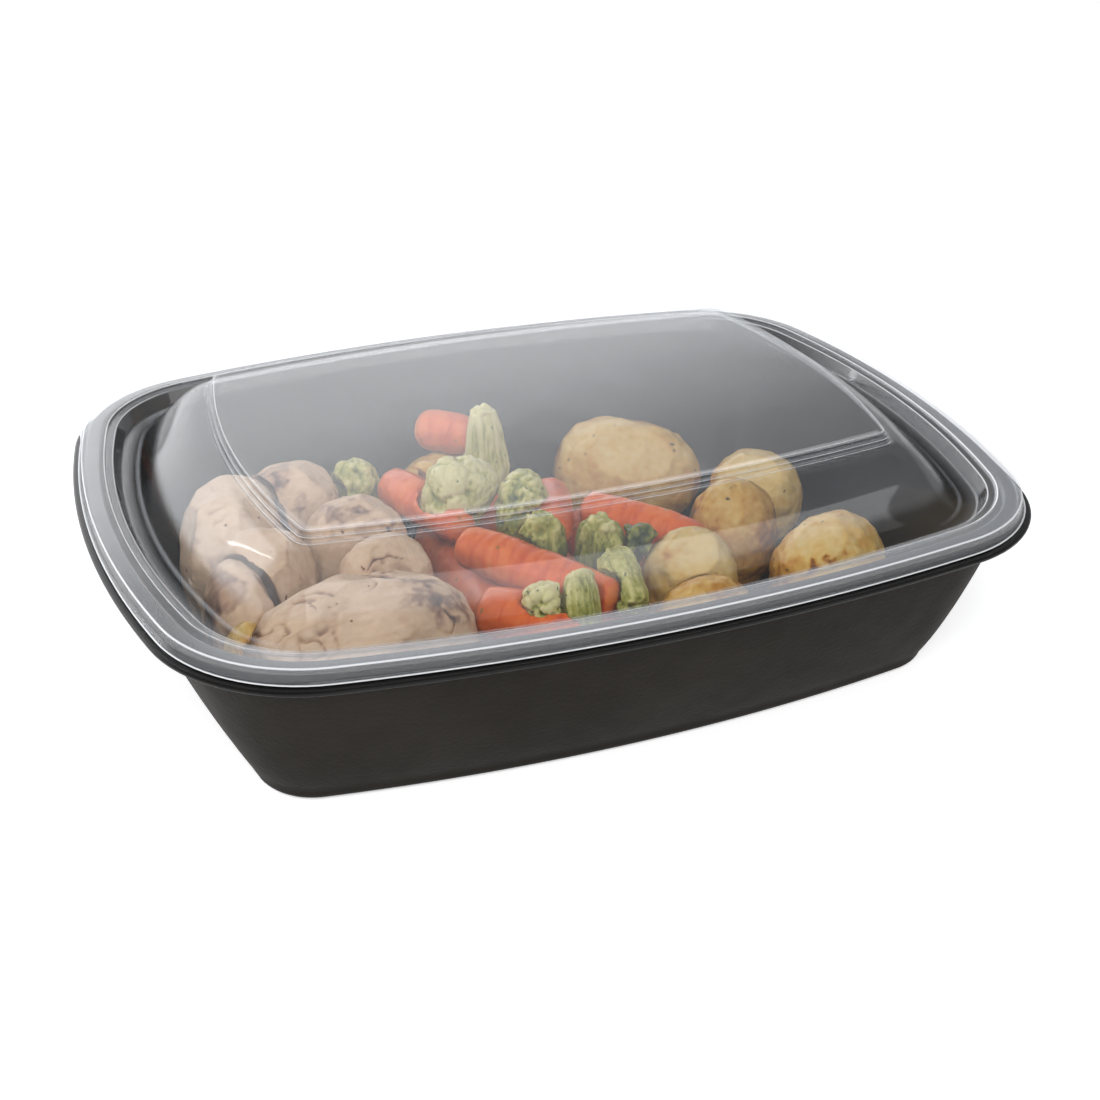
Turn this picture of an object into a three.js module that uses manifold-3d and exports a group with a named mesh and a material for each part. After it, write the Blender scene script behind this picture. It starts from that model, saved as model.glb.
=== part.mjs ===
// Takeaway meal container: black tray, clear domed lid, a roast dinner inside.
// Millimetres, +Z up, base on z = 0.
import * as THREE from "three";
import { mergeVertices } from "three/addons/utils/BufferGeometryUtils.js";
import Module from "manifold-3d";

const wasm = await Module();
wasm.setup();

// Lid outline at the foot of its skirt, seen from above; every flange and rim line is an inset of it
const lidHalfLength = 112.5;
const lidHalfWidth = 87.4;
const lidBowLong = 13.2;
const lidBowShort = 15.8;
const lidCorner = 36.6;
const lidSheet = 0.45;
const lidLip = 0.7;
const tabReach = 6;

// Heights of the lid
const skirtFoot = 45.2;
const flangeTop = 48.6;
const troughFloor = 44.6;
const shoulderHeight = 58.5;
const panelHeight = 61.6;

// Raised panel on the top of the lid, and how far its step spreads below it
const panelHalfLength = 78.4;
const panelHalfWidth = 51.5;
const panelBowLong = 6.6;
const panelBowShort = 7.3;
const panelCorner = 2.8;
const stepSpread = 2.3;
const domeFootInset = 13;

// Tray: base outline, wall and rim
const baseHalfLength = 88.7;
const baseHalfWidth = 63.4;
const baseBowLong = 7.9;
const baseBowShort = 6.5;
const baseCorner = 11.5;
const baseFillet = 3;
const wallInset = 3.8;
const wallCorner = 31.9;
const wallTop = 42.6;
const wallBulge = 0.694;
const wallSheet = 0.85;
const floorTop = 1;
const rimUnder = 43.3;
const rimTop = 47.85;
const rimReach = 2.06;

// Clearance between pieces that lie against each other
const gap = 0.35;

// Points along half a short side, a corner and half a long side of every outline
const shortSteps = 3;
const cornerSteps = 5;
const longSteps = 3;

function arc(points, centre, radius, from, to, steps) {
  for (let i = 0; i < steps; i++) {
    const a = from + ((to - from) * i) / steps;
    points.push([centre[0] + radius * Math.cos(a), centre[1] + radius * Math.sin(a)]);
  }
}

// Closed outline of four bowed sides and four round corners, anticlockwise from +X
function outline(halfLength, halfWidth, bowLong, bowShort, corner) {
  const longRadius = (halfLength ** 2 + bowLong ** 2) / (2 * bowLong);
  const shortRadius = (halfWidth ** 2 + bowShort ** 2) / (2 * bowShort);
  const longCentre = [0, halfWidth - longRadius];
  const shortCentre = [halfLength - shortRadius, 0];
  const dx = shortCentre[0] - longCentre[0];
  const dy = shortCentre[1] - longCentre[1];
  const span = Math.hypot(dx, dy);
  const r1 = longRadius - corner;
  const r2 = shortRadius - corner;
  const along = (r1 * r1 - r2 * r2 + span * span) / (2 * span);
  const across = Math.sqrt(Math.max(r1 * r1 - along * along, 0));
  const cornerCentre = [
    longCentre[0] + (dx * along + dy * across) / span,
    longCentre[1] + (dy * along - dx * across) / span,
  ];
  const shortAngle = Math.atan2(cornerCentre[1] - shortCentre[1], cornerCentre[0] - shortCentre[0]);
  const longAngle = Math.atan2(cornerCentre[1] - longCentre[1], cornerCentre[0] - longCentre[0]);
  const quarter = [];
  arc(quarter, shortCentre, shortRadius, 0, shortAngle, shortSteps);
  arc(quarter, cornerCentre, corner, shortAngle, longAngle, cornerSteps);
  arc(quarter, longCentre, longRadius, longAngle, Math.PI / 2, longSteps);
  quarter.push([0, halfWidth]);
  const last = quarter.length - 1;
  const points = [];
  for (const [sx, sy, back] of [[1, 1, false], [-1, 1, true], [-1, -1, false], [1, -1, true]]) {
    for (let i = 0; i < last; i++) {
      const p = quarter[back ? last - i : i];
      points.push([p[0] * sx, p[1] * sy]);
    }
  }
  return points;
}

function lift(points, z) {
  return points.map((p) => [p[0], p[1], z]);
}

function blend(low, high, amount, z) {
  return low.map((p, i) => [p[0] + (high[i][0] - p[0]) * amount, p[1] + (high[i][1] - p[1]) * amount, z]);
}

// Inset of the lid outline
function lidRing(inset, z) {
  const corner = lidCorner - inset;
  return lift(outline(lidHalfLength - inset, lidHalfWidth - inset, lidBowLong, lidBowShort, corner), z);
}

function panelRing(outset, z) {
  const corner = panelCorner + outset;
  const long = panelHalfLength + outset;
  return lift(outline(long, panelHalfWidth + outset, panelBowLong, panelBowShort, corner), z);
}

// Tray wall at one height, the bulging sides widening from the base to the rim
function wallRing(z, inset = 0, height = z) {
  const g = (Math.min(height, wallTop) / wallTop) ** wallBulge;
  const mix = (low, high) => low + (high - low) * g;
  const long = mix(baseHalfLength, lidHalfLength - wallInset) - inset;
  const wide = mix(baseHalfWidth, lidHalfWidth - wallInset) - inset;
  const corner = Math.max(mix(baseCorner, wallCorner) - inset, 4);
  return lift(outline(long, wide, mix(baseBowLong, lidBowLong), mix(baseBowShort, lidBowShort), corner), z);
}

// Solid from rings that run from the middle of one face, round the edge, to the middle of the other face
function loft(rings) {
  const count = rings[0].length;
  const positions = rings.flat(2);
  const index = [];
  const middle = (ring) => [0, 0, ring[0][2]];
  positions.push(...middle(rings[0]), ...middle(rings[rings.length - 1]));
  const first = rings.length * count;
  const end = (rings.length - 1) * count;
  for (let j = 0; j < count; j++) {
    const k = (j + 1) % count;
    index.push(first, k, j);
    index.push(first + 1, end + j, end + k);
    for (let i = 0; i < rings.length - 1; i++) {
      const a = i * count;
      const b = a + count;
      index.push(a + j, a + k, b + k);
      index.push(a + j, b + k, b + j);
    }
  }
  const geometry = new THREE.BufferGeometry();
  geometry.setAttribute("position", new THREE.Float32BufferAttribute(positions, 3));
  geometry.setIndex(index);
  return geometry;
}

// Second skin of a thin sheet, set in from the first by its thickness along the surface normals
function secondSkin(rings, thickness) {
  const count = rings[0].length;
  const at = (i, j) => new THREE.Vector3(...rings[i][(j + count) % count]);
  return rings.map((ring, i) => ring.map((p, j) => {
    const before = at(Math.max(i - 1, 0), j);
    const after = at(Math.min(i + 1, rings.length - 1), j);
    const here = new THREE.Vector3(...p);
    const turn = at(i, j + 1).sub(at(i, j - 1));
    const normal = new THREE.Vector3();
    for (const step of [here.clone().sub(before), after.sub(here)]) {
      if (step.length() > 0) normal.add(turn.clone().cross(step).normalize());
    }
    return here.addScaledVector(normal.normalize(), -thickness).toArray();
  }));
}

// Tray: outer skin up to the rolled rim, over it, and down the inside
function trayRings() {
  const rings = [];
  for (const part of [0, 1, 2, 3]) {
    const a = (part / 3) * (Math.PI / 2);
    rings.push(wallRing(baseFillet * (1 - Math.cos(a)), baseFillet * (1 - Math.sin(a)), baseFillet));
  }
  for (const z of [9, 17, 26, 35, wallTop]) rings.push(wallRing(z));
  rings.push(lidRing(3.6, rimTop - 1.4), lidRing(3.2, rimTop - 0.95), lidRing(2.2, rimTop - 0.95));
  rings.push(lidRing(1.8, rimTop - 1.5), lidRing(1.5, rimUnder + 0.5), lidRing(1, rimUnder));
  rings.push(lidRing(0.5 - rimReach, rimUnder), lidRing(-rimReach, rimUnder + 0.35));
  rings.push(lidRing(-rimReach, rimUnder + 0.75), lidRing(0.5 - rimReach, rimUnder + 1.1));
  rings.push(lidRing(0.5, rimUnder + 1.1), lidRing(0.85, rimUnder + 1.5), lidRing(1.05, rimTop - 0.6));
  rings.push(lidRing(1.6, rimTop), lidRing(4.2, rimTop), lidRing(4.75, rimTop - 0.6));
  for (const z of [wallTop, 35, 26, 17, 9]) rings.push(wallRing(z, wallSheet));
  for (const part of [3, 1.5, 0]) {
    const a = (part / 3) * (Math.PI / 2);
    const inset = wallSheet + baseFillet * (1 - Math.sin(a));
    rings.push(wallRing(floorTop + baseFillet * (1 - Math.cos(a)), inset, baseFillet));
  }
  return rings;
}

// Lip at the foot of the skirt, drawn out into a lifting tab at one corner
function lipRing(z) {
  const ring = lidRing(-lidLip, z);
  const inner = lidRing(0, z);
  const quarter = shortSteps + cornerSteps + longSteps;
  const middle = quarter + longSteps + cornerSteps / 2;
  return ring.map((p, i) => {
    const away = Math.abs(i - middle);
    const reach = away < 1 ? tabReach : away < 2 ? tabReach * 0.45 : 0;
    const dx = p[0] - inner[i][0];
    const dy = p[1] - inner[i][1];
    const length = Math.hypot(dx, dy);
    return [p[0] + (dx / length) * reach, p[1] + (dy / length) * reach, z];
  });
}

// Upper skin of the lid: skirt, flange, trough, dome, step and raised panel
function lidRings() {
  const rings = [lipRing(skirtFoot), lidRing(-0.05, skirtFoot), lidRing(0.25, flangeTop - 0.7)];
  rings.push(lidRing(0.9, flangeTop), lidRing(5.5, flangeTop), lidRing(6.2, flangeTop - 0.6));
  rings.push(lidRing(7.9, flangeTop - 0.7), lidRing(9.3, troughFloor + 0.5), lidRing(9.9, troughFloor));
  const foot = lidRing(domeFootInset, troughFloor);
  const shoulder = panelRing(stepSpread, shoulderHeight);
  rings.push(lidRing(domeFootInset - 0.6, troughFloor));
  for (const g of [0.03, 0.25, 0.48, 0.68, 0.85, 1]) {
    const rise = g + g * g - g ** 3;
    rings.push(blend(foot, shoulder, g, troughFloor + (shoulderHeight - troughFloor) * rise));
  }
  rings.push(panelRing(0.7, panelHeight - 0.5), panelRing(0, panelHeight), panelRing(-1.2, panelHeight));
  return rings;
}

// Slow unevenness over a surface, from -1 to 1
function ripple(p, seed, pitch) {
  const a = Math.sin((p.x + 0.6 * p.y) / pitch + seed);
  const b = Math.sin((1.1 * p.y - 0.7 * p.z) / pitch + seed * 2.3);
  const c = Math.sin((0.9 * p.z + 0.5 * p.x) / pitch + seed * 3.7);
  return (a + b + c) / 3;
}

function toSolid(geometry) {
  geometry.deleteAttribute("normal");
  geometry.deleteAttribute("uv");
  const merged = mergeVertices(geometry, 1e-4);
  const vertProperties = Float32Array.from(merged.attributes.position.array);
  const triVerts = Uint32Array.from(merged.index.array);
  return new wasm.Manifold(new wasm.Mesh({ numProp: 3, vertProperties, triVerts }));
}

// Uneven rounded piece of food; boxy is the power of its superellipsoid, grow adds a clearance all round,
// and a piece that stands is set down on the floor of the tray
function lump(
  { at, half, turn = [0, 0, 0], boxy = 2.3, seed = 1, rough = 0.8, pitch = 7, detail = 2, stands = false },
  grow = 0,
) {
  const geometry = new THREE.IcosahedronGeometry(1, detail);
  const position = geometry.attributes.position;
  const angles = new THREE.Euler(...turn.map((a) => (a * Math.PI) / 180));
  const p = new THREE.Vector3();
  for (let i = 0; i < position.count; i++) {
    const n = new THREE.Vector3().fromBufferAttribute(position, i).normalize();
    const power = Math.abs(n.x) ** boxy + Math.abs(n.y) ** boxy + Math.abs(n.z) ** boxy;
    p.copy(n).multiplyScalar(power ** (-1 / boxy));
    p.set(p.x * (half[0] + grow), p.y * (half[1] + grow), p.z * (half[2] + grow));
    p.addScaledVector(n, rough * ripple(p, seed, pitch));
    p.applyEuler(angles);
    position.setXYZ(i, p.x + at[0], p.y + at[1], p.z + at[2]);
  }
  geometry.computeBoundingBox();
  if (stands) geometry.translate(0, 0, floorTop + gap - grow - geometry.boundingBox.min.z);
  return toSolid(geometry);
}

// Tapered stick with rounded ends, between two points
function stick({ from, to, radii, flat = 1, seed = 1, rough = 0.4, around = 9 }, grow = 0) {
  const start = new THREE.Vector3(...from);
  const end = new THREE.Vector3(...to);
  const axis = end.clone().sub(start);
  const length = axis.length() + 2 * grow;
  axis.normalize();
  start.addScaledVector(axis, -grow);
  const side = new THREE.Vector3(0, 0, 1).cross(axis).normalize();
  const up = axis.clone().cross(side);
  const ends = [[0.35, 0.55], [1.1, 0.86]];
  const stations = ends.map(([s, k]) => [s * 2, k]);
  for (const t of [0.3, 0.5, 0.7]) stations.push([t * length, 1]);
  for (const [s, k] of [...ends].reverse()) stations.push([length - s * 2, k]);
  const positions = [];
  const index = [];
  for (const [s, k] of stations) {
    const r = (radii[0] + (radii[1] - radii[0]) * (s / length) + grow) * k;
    for (let j = 0; j < around; j++) {
      const a = (j / around) * 2 * Math.PI;
      const p = start.clone().addScaledVector(axis, s);
      p.addScaledVector(side, Math.cos(a) * r).addScaledVector(up, Math.sin(a) * r * flat);
      const bump = rough * ripple(p, seed, 6);
      p.addScaledVector(side, Math.cos(a) * bump).addScaledVector(up, Math.sin(a) * bump);
      positions.push(...p.toArray());
    }
  }
  const rows = stations.length;
  const tail = start.clone().addScaledVector(axis, length);
  positions.push(...start.toArray(), ...tail.toArray());
  for (let j = 0; j < around; j++) {
    const k = (j + 1) % around;
    index.push(rows * around, k, j);
    index.push(rows * around + 1, (rows - 1) * around + j, (rows - 1) * around + k);
    for (let i = 0; i < rows - 1; i++) {
      const a = i * around;
      const b = a + around;
      index.push(a + j, a + k, b + k);
      index.push(a + j, b + k, b + j);
    }
  }
  const geometry = new THREE.BufferGeometry();
  geometry.setAttribute("position", new THREE.Float32BufferAttribute(positions, 3));
  geometry.setIndex(index);
  return toSolid(geometry);
}

const shapes = { lump, stick };
const standing = { kind: "lump", stands: true };
const chicken = { ...standing, colour: "#c9ab90", roughness: 0.55, boxy: 2.6, rough: 1.2, pitch: 8 };
const carrot = { colour: "#e0601f", roughness: 0.4, kind: "stick" };
const green = { colour: "#a3a45a", roughness: 0.5, kind: "lump", boxy: 2.2, rough: 1.6, pitch: 3.2 };
const stalk = { colour: "#8f9350", roughness: 0.5, kind: "stick", rough: 0.8 };
const potato = { ...standing, colour: "#cfae62", roughness: 0.5, boxy: 2.2, rough: 1, pitch: 9 };

// Food in the order it claims its room; a piece is trimmed where it would run into one listed before it
const food = [
  // Lower layer, hidden from above
  {
    name: "carrot_low_1", ...carrot,
    from: [-17, -52, 10.8], to: [-17, 34, 10.8], radii: [9.5, 9.5], seed: 32,
  },
  { name: "carrot_low_2", ...carrot, from: [3, -52, 10.8], to: [2, 40, 10.8], radii: [9.5, 9.5], seed: 33 },
  {
    name: "carrot_low_3", ...carrot,
    from: [23, -14, 10.8], to: [22, 24, 10.8], radii: [9.5, 9.5], seed: 34,
  },
  { name: "potato_low", ...potato, at: [-5, 58, 12.8], half: [17, 9, 11.4], seed: 35 },
  // Roast chicken, thick slices standing side by side at the left
  {
    name: "chicken_front", ...chicken,
    at: [-59, -38, 20.6], half: [30, 18.6, 19.2], turn: [0, 0, 9], seed: 1,
  },
  {
    name: "chicken_left", ...chicken,
    at: [-75.5, 24, 21], half: [13.5, 21.5, 19.4], turn: [0, 0, -24], seed: 2,
  },
  {
    name: "chicken_corner", ...chicken,
    at: [-81.5, -13, 21], half: [9, 16, 17.6], turn: [0, 0, 4], seed: 3,
  },
  {
    name: "chicken_middle", ...chicken,
    at: [-72, -1, 21.2], half: [12, 13, 19.8], turn: [0, 0, 30], seed: 4,
  },
  {
    name: "chicken_back", ...chicken,
    at: [-57, 37, 20.2], half: [15, 13, 18.4], turn: [0, 0, -8], seed: 5,
  },
  {
    name: "chicken_right", ...chicken,
    at: [-47, 12, 20.8], half: [14.5, 12, 18], turn: [0, 0, 2], seed: 6,
  },
  {
    name: "chicken_low", ...chicken,
    at: [-46, -13, 19.8], half: [13, 10, 18.4], turn: [0, 0, 12], seed: 7,
  },
  // Green vegetable pieces that stand over the carrots
  { name: "stalk_front", ...stalk, from: [-4, -37, 34], to: [-6, -47, 20], radii: [4.8, 4.4], seed: 8 },
  { name: "floret_front", ...green, at: [-12, -38, 26], half: [6, 5, 6.5], seed: 9, pitch: 2.4 },
  {
    name: "floret_middle", ...green,
    at: [-16, 17, 30.3], half: [11, 8.5, 11.3], turn: [0, 0, 12], seed: 10,
  },
  // Carrots, the upper ones lying on three whole ones
  { name: "carrot_diagonal", ...carrot, from: [-23, -3, 27], to: [4, -42, 25.6], radii: [7, 6], seed: 11 },
  {
    name: "carrot_front", ...carrot,
    from: [-26.5, -27, 21.5], to: [-5, -48, 21.5], radii: [8, 7], seed: 12,
  },
  {
    name: "carrot_left", ...carrot,
    from: [-29.5, 39, 26], to: [-18, 5, 26.3], radii: [6.8, 6.6], seed: 13,
  },
  {
    name: "carrot_upright", ...carrot,
    from: [11, 19, 26.3], to: [1, -8, 26.3], radii: [6.2, 6.2], seed: 14,
  },
  { name: "carrot_right", ...carrot, from: [15, 6, 26.3], to: [37, -24, 26.3], radii: [6.6, 6], seed: 15 },
  { name: "carrot_far", ...carrot, from: [-13, 64, 29], to: [3, 52, 29], radii: [6.6, 6.2], seed: 16 },
  // Potatoes, each large enough to stand on the floor of the tray
  { name: "potato_far", ...potato, at: [41, 36, 19], half: [22, 14, 17.4], turn: [0, 0, -29], seed: 17 },
  {
    name: "potato_right", ...potato,
    at: [67, -35.5, 17], half: [16.5, 14, 16.9], turn: [0, 0, -4], seed: 18,
  },
  { name: "potato_side", ...potato, at: [71, 12, 17], half: [14, 12, 15], turn: [0, 0, -20], seed: 19 },
  {
    name: "potato_middle", ...potato,
    at: [53, -9, 18.6], half: [13, 11.5, 16.6], turn: [0, 0, 10], seed: 20,
  },
  { name: "potato_front", ...potato, at: [27, -47, 15.8], half: [15, 11, 14.6], turn: [0, 0, 2], seed: 21 },
  {
    name: "potato_pale", ...potato,
    at: [30, -30, 18.8], half: [13.5, 10.5, 17], turn: [0, 0, -12], seed: 22,
  },
  { name: "potato_corner", ...potato, at: [-85, -37, 16.8], half: [8, 9, 17.6], seed: 23, detail: 1 },
  // More of the green vegetables
  { name: "floret_far", ...stalk, from: [4, 48, 14], to: [2, 49, 41], radii: [9.5, 4.6], seed: 24 },
  { name: "floret_dark", ...green, at: [-2, 7, 28.5], half: [7.5, 8.5, 10], seed: 25 },
  { name: "stalk_left", ...green, at: [-4, -12, 28], half: [7, 6, 9], seed: 26 },
  { name: "stalk_right", ...green, at: [9.5, -19, 28], half: [6.5, 7, 9.4], seed: 27 },
  { name: "stalk_low", ...stalk, from: [9, -27, 31], to: [7, -46, 23], radii: [5.6, 5.2], seed: 28 },
  { name: "leaf_dark", ...green, at: [18.5, -22, 28.5], half: [6.5, 5, 6], seed: 29, detail: 1 },
  { name: "floret_back", ...green, stands: true, at: [-38, 42, 19.4], half: [8.5, 8, 16.8], seed: 30 },
  {
    name: "potato_small", ...potato,
    stands: false, at: [-20, 31, 28], half: [6.5, 5.5, 8], seed: 31, detail: 1,
  },
];

// Room inside the tray, kept clear of its walls and floor
const room = toSolid(loft([
  ...[0, 1.5, 3].map((part) => {
    const a = (part / 3) * (Math.PI / 2);
    const inset = wallSheet + gap + baseFillet * (1 - Math.sin(a));
    return wallRing(floorTop + gap + baseFillet * (1 - Math.cos(a)), inset, baseFillet);
  }),
  ...[9, 17, 26, 35, wallTop].map((z) => wallRing(z, wallSheet + gap)),
]));

const group = new THREE.Group();
group.name = "takeaway_meal";

function place(name, geometry, colour, roughness, extra = {}) {
  const material = new THREE.MeshStandardMaterial({ color: colour, roughness, metalness: 0, ...extra });
  const mesh = new THREE.Mesh(geometry, material);
  mesh.name = name;
  group.add(mesh);
}

place("tray", loft(trayRings()), "#1c1b1a", 0.5);

const upper = lidRings();
const under = secondSkin(upper, lidSheet).reverse();
place("lid", loft([...under, ...upper]), "#d9dde2", 0.08, { transparent: true, opacity: 0.35 });

const claimed = [];
for (const piece of food) {
  let solid = shapes[piece.kind](piece).intersect(room);
  for (const other of claimed) {
    const near = solid.boundingBox();
    const box = other.boundingBox();
    const apart = [0, 1, 2].some((i) => near.min[i] > box.max[i] || near.max[i] < box.min[i]);
    if (!apart) solid = solid.subtract(other);
  }
  const bodies = solid.decompose().sort((a, b) => b.volume() - a.volume());
  solid = bodies[0].simplify(0.25);
  claimed.push(shapes[piece.kind](piece, gap));
  const mesh = solid.getMesh();
  const geometry = new THREE.BufferGeometry();
  geometry.setAttribute("position", new THREE.Float32BufferAttribute(mesh.vertProperties, 3));
  geometry.setIndex(Array.from(mesh.triVerts));
  place(piece.name, geometry, piece.colour, piece.roughness);
}

export default group;
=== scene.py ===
import math
import bpy
import numpy as np
from mathutils import Matrix, Vector, noise


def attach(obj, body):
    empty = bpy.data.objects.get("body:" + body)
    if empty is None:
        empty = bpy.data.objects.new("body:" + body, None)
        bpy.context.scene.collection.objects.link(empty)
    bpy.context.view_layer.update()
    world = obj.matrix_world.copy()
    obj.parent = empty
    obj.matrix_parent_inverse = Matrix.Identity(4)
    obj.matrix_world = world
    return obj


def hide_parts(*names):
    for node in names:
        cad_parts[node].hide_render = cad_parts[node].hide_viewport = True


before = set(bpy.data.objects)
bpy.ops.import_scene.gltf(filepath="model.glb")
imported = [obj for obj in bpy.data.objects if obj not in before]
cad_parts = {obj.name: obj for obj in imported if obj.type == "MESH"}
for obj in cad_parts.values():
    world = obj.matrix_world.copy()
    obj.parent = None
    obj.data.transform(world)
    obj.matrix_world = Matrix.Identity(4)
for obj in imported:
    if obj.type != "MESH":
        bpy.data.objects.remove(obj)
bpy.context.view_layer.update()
print("frame loaded,", len(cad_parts), "nodes")

mm = 0.001

# camera at the photograph's place and angle: metres, radians, and lens and sensor in millimetres
camera = {
    "place": (-0.145599, -0.363551, 0.233720),
    "forward": (0.332557, 0.811554, -0.480401),
    "yaw": 0.389,
    "roll": 0.013,
    "lens": 55.38,
    "sensor": 36,
    "clipStart": 0.01,
}


def makeCamera(look):
    forward = Vector(look["forward"]).normalized()
    right = Vector((math.cos(look["yaw"]), -math.sin(look["yaw"]), 0))
    up = right.cross(forward).normalized()
    turn, lean = math.cos(look["roll"]), math.sin(look["roll"])
    side, top = right * turn + up * lean, up * turn - right * lean
    data = bpy.data.cameras.new("camera")
    data.lens, data.sensor_width = look["lens"], look["sensor"]
    data.clip_start = look["clipStart"]
    obj = bpy.data.objects.new("camera", data)
    bpy.context.scene.collection.objects.link(obj)
    rows = [(side[i], top[i], -forward[i], look["place"][i]) for i in range(3)]
    obj.matrix_world = Matrix(rows + [(0, 0, 0, 1)])
    bpy.context.scene.camera = obj


makeCamera(camera)


# shader helpers
def newMaterial(name):
    made = bpy.data.materials.new(name)
    made.use_nodes = True
    made.node_tree.nodes.clear()
    return made, made.node_tree


def addNode(tree, kind, settings=None, **values):
    made = tree.nodes.new(kind)
    for key, value in (settings or {}).items():
        setattr(made, key, value)
    for key, value in values.items():
        made.inputs[key.replace("_", " ")].default_value = value
    return made


def wire(tree, source, target):
    tree.links.new(source, target)


def finishMaterial(tree, shader):
    end = addNode(tree, "ShaderNodeOutputMaterial")
    wire(tree, shader, end.inputs["Surface"])


def newGroup(name, takes, gives):
    group = bpy.data.node_groups.new(name, "ShaderNodeTree")
    kinds = {"value": "NodeSocketFloat", "colour": "NodeSocketColor", "vector": "NodeSocketVector"}
    for label, kind, start in takes:
        socket = group.interface.new_socket(label, in_out="INPUT", socket_type=kinds[kind])
        if start is not None:
            socket.default_value = start
    for label, kind in gives:
        group.interface.new_socket(label, in_out="OUTPUT", socket_type=kinds[kind])
    return group, group.nodes.new("NodeGroupInput"), group.nodes.new("NodeGroupOutput")


def useGroup(tree, group, values=None):
    made = tree.nodes.new("ShaderNodeGroup")
    made.node_tree = group
    for key, value in (values or {}).items():
        made.inputs[key].default_value = value
    return made


def colour(r, g, b):
    return (r, g, b, 1)


# soft cloudy change between two colours
def makeMottle():
    group, start, end = newGroup(
        "mottle",
        [("Place", "vector", None), ("Scale", "value", 60), ("Detail", "value", 4),
         ("Low", "value", 0.4), ("High", "value", 0.6),
         ("Base", "colour", colour(0.5, 0.5, 0.5)), ("Patch", "colour", colour(0.3, 0.3, 0.3))],
        [("Colour", "colour"), ("Mask", "value")],
    )
    cloud = addNode(group, "ShaderNodeTexNoise")
    wire(group, start.outputs["Place"], cloud.inputs["Vector"])
    wire(group, start.outputs["Scale"], cloud.inputs["Scale"])
    wire(group, start.outputs["Detail"], cloud.inputs["Detail"])
    spread = addNode(group, "ShaderNodeMapRange", {"interpolation_type": "SMOOTHSTEP"})
    wire(group, cloud.outputs["Fac"], spread.inputs["Value"])
    wire(group, start.outputs["Low"], spread.inputs["From Min"])
    wire(group, start.outputs["High"], spread.inputs["From Max"])
    mix = addNode(group, "ShaderNodeMix", {"data_type": "RGBA"})
    wire(group, spread.outputs["Result"], mix.inputs[0])
    wire(group, start.outputs["Base"], mix.inputs[6])
    wire(group, start.outputs["Patch"], mix.inputs[7])
    wire(group, mix.outputs[2], end.inputs["Colour"])
    wire(group, spread.outputs["Result"], end.inputs["Mask"])
    return group


# small separate specks laid over a colour
def makeSpeckle():
    group, start, end = newGroup(
        "speckle",
        [("Place", "vector", None), ("Scale", "value", 300), ("Size", "value", 0.3),
         ("Share", "value", 0.4), ("Wander", "value", 0.002), ("Wander Scale", "value", 700),
         ("Base", "colour", colour(0.5, 0.5, 0.5)), ("Speck", "colour", colour(0.1, 0.1, 0.1))],
        [("Colour", "colour"), ("Mask", "value")],
    )
    drift = addNode(group, "ShaderNodeTexNoise")
    wire(group, start.outputs["Place"], drift.inputs["Vector"])
    wire(group, start.outputs["Wander Scale"], drift.inputs["Scale"])
    bent = addNode(group, "ShaderNodeVectorMath", {"operation": "SCALE"})
    wire(group, drift.outputs["Color"], bent.inputs[0])
    wire(group, start.outputs["Wander"], bent.inputs["Scale"])
    moved = addNode(group, "ShaderNodeVectorMath", {"operation": "ADD"})
    wire(group, start.outputs["Place"], moved.inputs[0])
    wire(group, bent.outputs[0], moved.inputs[1])
    cells = addNode(group, "ShaderNodeTexVoronoi")
    wire(group, moved.outputs[0], cells.inputs["Vector"])
    wire(group, start.outputs["Scale"], cells.inputs["Scale"])
    near = addNode(group, "ShaderNodeMath", {"operation": "LESS_THAN"})
    wire(group, cells.outputs["Distance"], near.inputs[0])
    wire(group, start.outputs["Size"], near.inputs[1])
    pick = addNode(group, "ShaderNodeSeparateColor")
    wire(group, cells.outputs["Color"], pick.inputs["Color"])
    chosen = addNode(group, "ShaderNodeMath", {"operation": "LESS_THAN"})
    wire(group, pick.outputs["Red"], chosen.inputs[0])
    wire(group, start.outputs["Share"], chosen.inputs[1])
    both = addNode(group, "ShaderNodeMath", {"operation": "MULTIPLY"})
    wire(group, near.outputs[0], both.inputs[0])
    wire(group, chosen.outputs[0], both.inputs[1])
    mix = addNode(group, "ShaderNodeMix", {"data_type": "RGBA"})
    wire(group, both.outputs[0], mix.inputs[0])
    wire(group, start.outputs["Base"], mix.inputs[6])
    wire(group, start.outputs["Speck"], mix.inputs[7])
    wire(group, mix.outputs[2], end.inputs["Colour"])
    wire(group, both.outputs[0], end.inputs["Mask"])
    return group


mottle, speckle = makeMottle(), makeSpeckle()


def placeOf(tree, stretch=(1, 1, 1)):
    where = addNode(tree, "ShaderNodeTexCoord")
    mapping = addNode(tree, "ShaderNodeMapping", Scale=stretch)
    wire(tree, where.outputs["Object"], mapping.inputs["Vector"])
    return mapping.outputs["Vector"]


def heightOf(tree, place, scale, detail):
    made = addNode(tree, "ShaderNodeTexNoise", Scale=scale, Detail=detail)
    wire(tree, place, made.inputs["Vector"])
    return made.outputs["Fac"]


def bumpOf(tree, height, distance, strength=1):
    made = addNode(tree, "ShaderNodeBump", Distance=distance, Strength=strength)
    wire(tree, height, made.inputs["Height"])
    return made.outputs["Normal"]


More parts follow.
